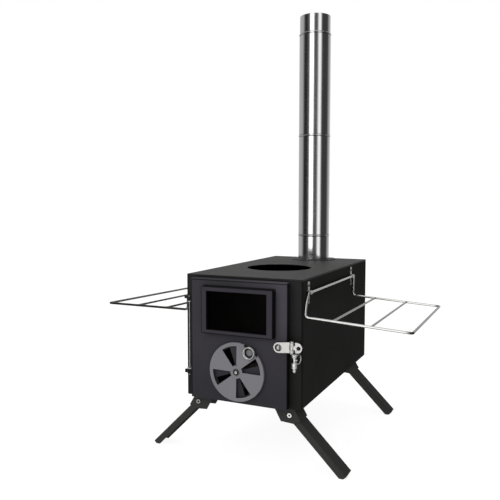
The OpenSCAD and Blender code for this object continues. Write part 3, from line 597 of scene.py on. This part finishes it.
def rack_piece(side, z0, droop, lean):
    g = droop / (REACH - 147.0)
    x1 = FOOT_X + 3.2

    def sz(x, y):
        return z0 - g * max(x - x1, 0) - lean * (y - 7.0) / 270.0

    def Q(x, y, z):
        return P(x * side, y, z)

    def end(y0, y1):
        ym, zm = y0 + (y1 - y0) * 0.72, PVZ - 13.0
        yn, zn = y0 + (y1 - y0) * 0.95, PVZ - 24.0
        return [Q(PVX, y0, PVZ), Q(PVX - 0.35, ym, zm), Q(PVX - 0.8, yn, zn), Q(FOOT_X, y1, sz(0, y1)), Q(REACH, y1, sz(REACH, y1))]
    f, r = end(19.0, 7.0), end(276.0, 277.0)
    # Corner radii follow the photo: tight at the foot, wider at the outer corners
    path = []
    corners = f + r[::-1]
    radii = [3.0, 18.0, 18.0, 6.0, 4.5, 4.5, 6.0, 18.0, 18.0, 3.0]
    n = len(corners)
    for i in range(n):
        p, a, b = corners[i], corners[(i - 1) % n], corners[(i + 1) % n]
        u, v = (a - p), (b - p)
        la, lb = u.length, v.length
        u.normalize(), v.normalize()
        ang = u.angle(v)
        d = min(radii[i] / 1000.0 / math.tan(ang / 2), 0.46 * min(la, lb))
        s0, s1 = p + u * d, p + v * d
        for k in range(7):
            w = k / 6
            path.append(s0 * (1 - w) ** 2 + p * 2 * w * (1 - w) + s1 * w * w)
    parts = [tube_along(path, WR, 16, closed=True)]
    for x in (147.0, 205.0):
        a, b = Q(x, 7.0, sz(x, 7.0)), Q(x, 277.0, sz(x, 277.0))
        m = (b - a).normalized() * 0.0006
        parts.append(tube_along([a + m] + [a.lerp(b, w) for w in (0.25, 0.5, 0.75)] + [b - m], WR * 0.9, 14))
        for q, sg in ((a, 1), (b, -1)):
            parts.append(ball(q + Vector((0, sg * 0.0016, 0)), 2.25, (1.05, 0.9, 0.95)))
    # The butt weld that closes the loop, on the pivot wire
    parts.append(ball(Q(PVX, 150.0, PVZ), 2.35, (0.98, 1.5, 0.98)))
    return join(parts)


for nm, body, side, args, mat in (("rack_left", "left_rack", -1, (141.8, 0.0, 7.7), "wire_dark"), ("rack_right", "right_rack", 1, (144.9, 7.8, 2.6), "wire")):
    v, f = rack_piece(side, *args)
    o = make_piece(nm + "_wire", v, f, M[mat], 60)
    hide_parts(nm)
    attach(o, body)

# Coil knob: a short helix of wire on the disc, its first turn closed on itself
KX, KZ = -2.5 + 40.4 * math.cos(math.radians(55.5)), 53.0 + 40.4 * math.sin(math.radians(55.5))
RO, CW, CL = 9.6, 1.6, 5.2
turns = 2.95
pts = []
for i in range(int(48 * turns) + 1):
    a = 2 * math.pi * i / 48 + 0.6
    h = CW / 2 + (CL - CW) * max(0.0, min(1.0, (i / 48 - 0.35) / (turns - 0.75)))
    pts.append(P(KX + (RO - CW / 2) * math.cos(a), -16.5 - h, KZ + (RO - CW / 2) * math.sin(a)))
v, f = tube_along(pts, CW / 2, 12)
o = make_piece("coil_knob_wire", v, f, M["coil"], 60)
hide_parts("coil_knob")
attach(o, "damper")

# Flue: spun steel sections with a rolled bead, a reduced neck with a rolled-in lip, and a folded seam up the back
PR, PT, BEAD, BODY_H, FLUE_Y = 31.75, 0.78, 1.3, 203.0, 344.0
NR = PR - PT - 0.07
SEG = 160


def seam(a, z, z0, z1):
    """Extra radius for the folded lengthwise seam, at the back."""
    d = (a - math.pi / 2 + math.pi) % (2 * math.pi) - math.pi
    k = max(0.0, 1.0 - abs(d) / 0.075)
    s = min(1.0, max(0.0, (z - z0 - 1.0) / 1.5), max(0.0, (z1 - z - 2.5) / 1.5))
    return 0.55 * min(1.0, k * 3.0) * s


def pipe_mesh(zlow, zb):
    top = zb + NECK + BEAD
    prof = [(PR - PT, zlow + 0.3), (PR - PT * 0.5, zlow), (PR - 0.1, zlow + 0.15), (PR, zlow + 0.5)]
    prof += [(PR, zlow + 1.1)] + [(PR, zlow + (zb - 2.4 - zlow) * k / 8) for k in range(1, 8)]
    prof += [(PR, zb - 2.8), (PR, zb - 2.2), (PR + 0.12, zb - 1.5)]
    prof += [(PR - 0.4 + (BEAD) * math.cos(a), zb + BEAD * math.sin(a)) for a in [math.radians(q) for q in (-62, -45, -25, 0, 25, 45, 62, 80)]]
    prof += [(NR + 0.12, zb + 1.75), (NR, zb + 2.3), (NR, zb + 2.9)]
    prof += [(NR, zb + 2.9 + (top - 1.2 - zb - 2.9) * k / 5) for k in range(1, 6)] + [(NR, top - 0.6)]
    prof += [(NR - 0.12, top - 0.15), (NR - PT * 0.5, top), (NR - PT, top - 0.3)]
    inner = [(NR - PT, zb + 1.0), (PR - PT, zb - 2.6)]
    prof += inner + [(PR - PT, zlow + 0.3)]
    prof = prof[:-1]
    verts, faces = [], []
    m = len(prof)
    for i in range(SEG):
        a = 2 * math.pi * i / SEG
        for j, (r, z) in enumerate(prof):
            rr = r
            if 3 <= j < 15:
                rr += seam(a, z, zlow, zb)
            verts.append(P(rr * math.cos(a), FLUE_Y + rr * math.sin(a), z))
    for i in range(SEG):
        i2 = (i + 1) % SEG
        for j in range(m):
            j2 = (j + 1) % m
            faces.append((i * m + j, i2 * m + j, i2 * m + j2, i * m + j2))
    return verts, faces


NECK = 35.0
Z1 = BODY_H + 50.5
Z2, Z3 = Z1 + 202.5, Z1 + 405.0
for nm, body, a, b in (("pipe_lower", "lower_pipe", Z1 + BEAD + 0.2, Z2), ("pipe_upper", "upper_pipe", Z2 + BEAD + 0.2, Z3)):
    v, f = pipe_mesh(a, b)
    o = make_piece(nm + "_tube", v, f, M["pipe"], 50)
    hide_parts(nm)
    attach(o, body)
v, f = pipe_mesh(BODY_H + 0.05, Z1)
o = make_piece("flue_collar_tube", v, f, M["pipe"], 50)
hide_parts("flue_collar")
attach(o, "casing")


def flange_mesh():
    """The collar's flange: a flat ring with a straight rear edge and a rolled fillet to the tube."""
    prof_in = PR - PT * 0.5
    verts, faces = [], []
    n = 144
    rows = [(-1, 0.0), (-1, 1.0), (-0.5, 1.2), (0.0, 1.2), (0.25, 1.2), (0.82, 1.22), (0.92, 1.4), (0.97, 1.8), (1.0, 2.4)]
    back = 380.0 - 2.0 - FLUE_Y

    def outer(a):
        r = 46.0
        if math.sin(a) * r > back:
            r = back / math.sin(a)
        return r
    for i in range(n):
        a = 2 * math.pi * i / n
        ro = outer(a)
        for j, (k, h) in enumerate(rows):
            if k == -1:
                r = ro - (0.0 if h == 0.0 else 0.0)
            elif k == -0.5:
                r = ro - 0.25
            else:
                r = (ro - 0.8) + (PR + 0.02 - (ro - 0.8)) * k
            verts.append(P(r * math.cos(a), FLUE_Y + r * math.sin(a), BODY_H + h))
        verts.append(P(prof_in * math.cos(a), FLUE_Y + prof_in * math.sin(a), BODY_H + 2.4))
        verts.append(P(prof_in * math.cos(a), FLUE_Y + prof_in * math.sin(a), BODY_H + 0.0))
    m = len(rows) + 2
    for i in range(n):
        i2 = (i + 1) % n
        for j in range(m):
            j2 = (j + 1) % m
            faces.append((i * m + j, i2 * m + j, i2 * m + j2, i * m + j2))
    return verts, faces


v, f = flange_mesh()
o = make_piece("flue_flange", v, f, M["flange"], 40)
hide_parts("flue_collar")
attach(o, "casing")

# ------------------------------------------------------------------ floor, lights
floor_mesh = bpy.data.meshes.new("floor")
bm = bmesh.new()
bmesh.ops.create_grid(bm, x_segments=1, y_segments=1, size=60.0)
bm.to_mesh(floor_mesh)
bm.free()
floor = bpy.data.objects.new("floor", floor_mesh)
scene.collection.objects.link(floor)
fm, ft, fb = material("floor")
fb.inputs["Base Color"].default_value = (0.14, 0.14, 0.14, 1)
fb.inputs["Roughness"].default_value = 0.9
fb.inputs["Specular IOR Level"].default_value = 0.0
fb.inputs["Emission Color"].default_value = (1, 1, 1, 1)
fb.inputs["Emission Strength"].default_value = 0.92
floor.data.materials.append(fm)
floor.visible_glossy = False

# A ring of studio panels, seen only in reflections: bright and dark upright strips
TO_CAMERA = math.degrees(math.atan2(-math.cos(PSI), math.sin(PSI)))
STRIPS = [(-180, .55), (-137, .5), (-112, .45), (-101, .26), (-91, .03), (-76, .02), (-66, .04), (-50, .16), (-45, 1.2), (-41, 1.9), (-17, 1.9),
          (-13, .35), (-8, .12), (4, .1), (15, .2), (20, .8), (30, 1.3), (40, 1.1), (46, .35), (52, .06), (75, .05), (101, .06), (112, .3), (126, .45),
          (150, .8), (179, .55)]


def azimuth_fac(t, vec):
    sx = t.node("ShaderNodeSeparateXYZ")
    t.link(vec, sx.inputs[0])
    a = t.math("ARCTAN2", sx.outputs[1], sx.outputs[0])
    a = t.math("ADD", t.math("MULTIPLY", a, 0.5 / math.pi), 1.0 - TO_CAMERA / 360.0 + 0.5)
    return t.math("FRACT", a), sx.outputs[2]


ring_mesh = bpy.data.meshes.new("studio_ring")
bm = bmesh.new()
R, H, SEG = 2.6, 4.5, 96
for i in range(SEG):
    a0, a1 = 2 * math.pi * i / SEG, 2 * math.pi * (i + 1) / SEG
    vs = [bm.verts.new((R * math.cos(a), R * math.sin(a), z)) for a, z in ((a0, -H), (a0, H), (a1, H), (a1, -H))]
    bm.faces.new(vs)
bm.to_mesh(ring_mesh)
bm.free()
ring = bpy.data.objects.new("studio_ring", ring_mesh)
scene.collection.objects.link(ring)
rm = bpy.data.materials.new("studio_ring")
rm.use_nodes = True
rt = Tree(rm.node_tree)
ro = rt.node("ShaderNodeOutputMaterial")
re_ = rt.node("ShaderNodeEmission")
tc = rt.node("ShaderNodeTexCoord")
fac, zz = azimuth_fac(rt, tc.outputs["Object"])
strip = rt.ramp(fac, [((b + 180) / 360.0, v) for b, v in STRIPS])
rt.link(strip, re_.inputs["Color"])
re_.inputs["Strength"].default_value = 1.0
rt.link(re_.outputs[0], ro.inputs[0])
ring.data.materials.append(rm)
ring.visible_camera = False
ring.visible_diffuse = False
ring.visible_shadow = False
ring.visible_transmission = False
ring.visible_volume_scatter = False

world = bpy.data.worlds.new("studio")
scene.world = world
world.use_nodes = True
wt = Tree(world.node_tree)
wo = wt.node("ShaderNodeOutputWorld")
bg = wt.node("ShaderNodeBackground")
bg.inputs["Strength"].default_value = 1.0
# White above and round the horizon, dark below, which only reflections can see
wtc = wt.node("ShaderNodeTexCoord")
wsx = wt.node("ShaderNodeSeparateXYZ")
wt.link(wtc.outputs["Generated"], wsx.inputs[0])
wt.link(wt.ramp(wt.math("ADD", wt.math("MULTIPLY", wsx.outputs[2], 0.5), 0.5), [(0.0, 0.08), (0.22, 0.08), (0.36, 1.0), (1.0, 1.0)]), bg.inputs["Color"])
wt.link(bg.outputs[0], wo.inputs[0])


def area(name, loc, target, size, power, glossy=False):
    d = bpy.data.lights.new(name, "AREA")
    d.shape = "SQUARE"
    d.size = size
    d.energy = power
    o = bpy.data.objects.new(name, d)
    scene.collection.objects.link(o)
    o.location = loc
    o.rotation_euler = (Vector(target) - Vector(loc)).to_track_quat("-Z", "Y").to_euler()
    o.visible_glossy = glossy
    return o


area("key", (-1.6, -2.4, 1.9), (0, 0, 0.25), 1.6, 26)
area("top", (-0.5, 0.1, 2.6), (0, 0, 0.2), 2.0, 14)

# A dark flag on the right takes some of the fill away, as in a studio
flag_mesh = bpy.data.meshes.new("flag")
bm = bmesh.new()
for i in range(24):
    a0, a1 = math.radians(-42 + 92 * i / 24), math.radians(-42 + 92 * (i + 1) / 24)
    vs = [bm.verts.new((2.2 * math.cos(a), 2.2 * math.sin(a), z)) for a, z in ((a0, 0.02), (a0, 2.6), (a1, 2.6), (a1, 0.02))]
    bm.faces.new(vs)
bm.to_mesh(flag_mesh)
bm.free()
flag = bpy.data.objects.new("flag", flag_mesh)
scene.collection.objects.link(flag)
gm, gt, gb = material("flag_black")
gb.inputs["Base Color"].default_value = (0.01, 0.01, 0.01, 1)
gb.inputs["Roughness"].default_value = 1.0
gb.inputs["Specular IOR Level"].default_value = 0.0
flag.data.materials.append(gm)
flag.visible_camera = False
flag.visible_glossy = False
flag.visible_transmission = False
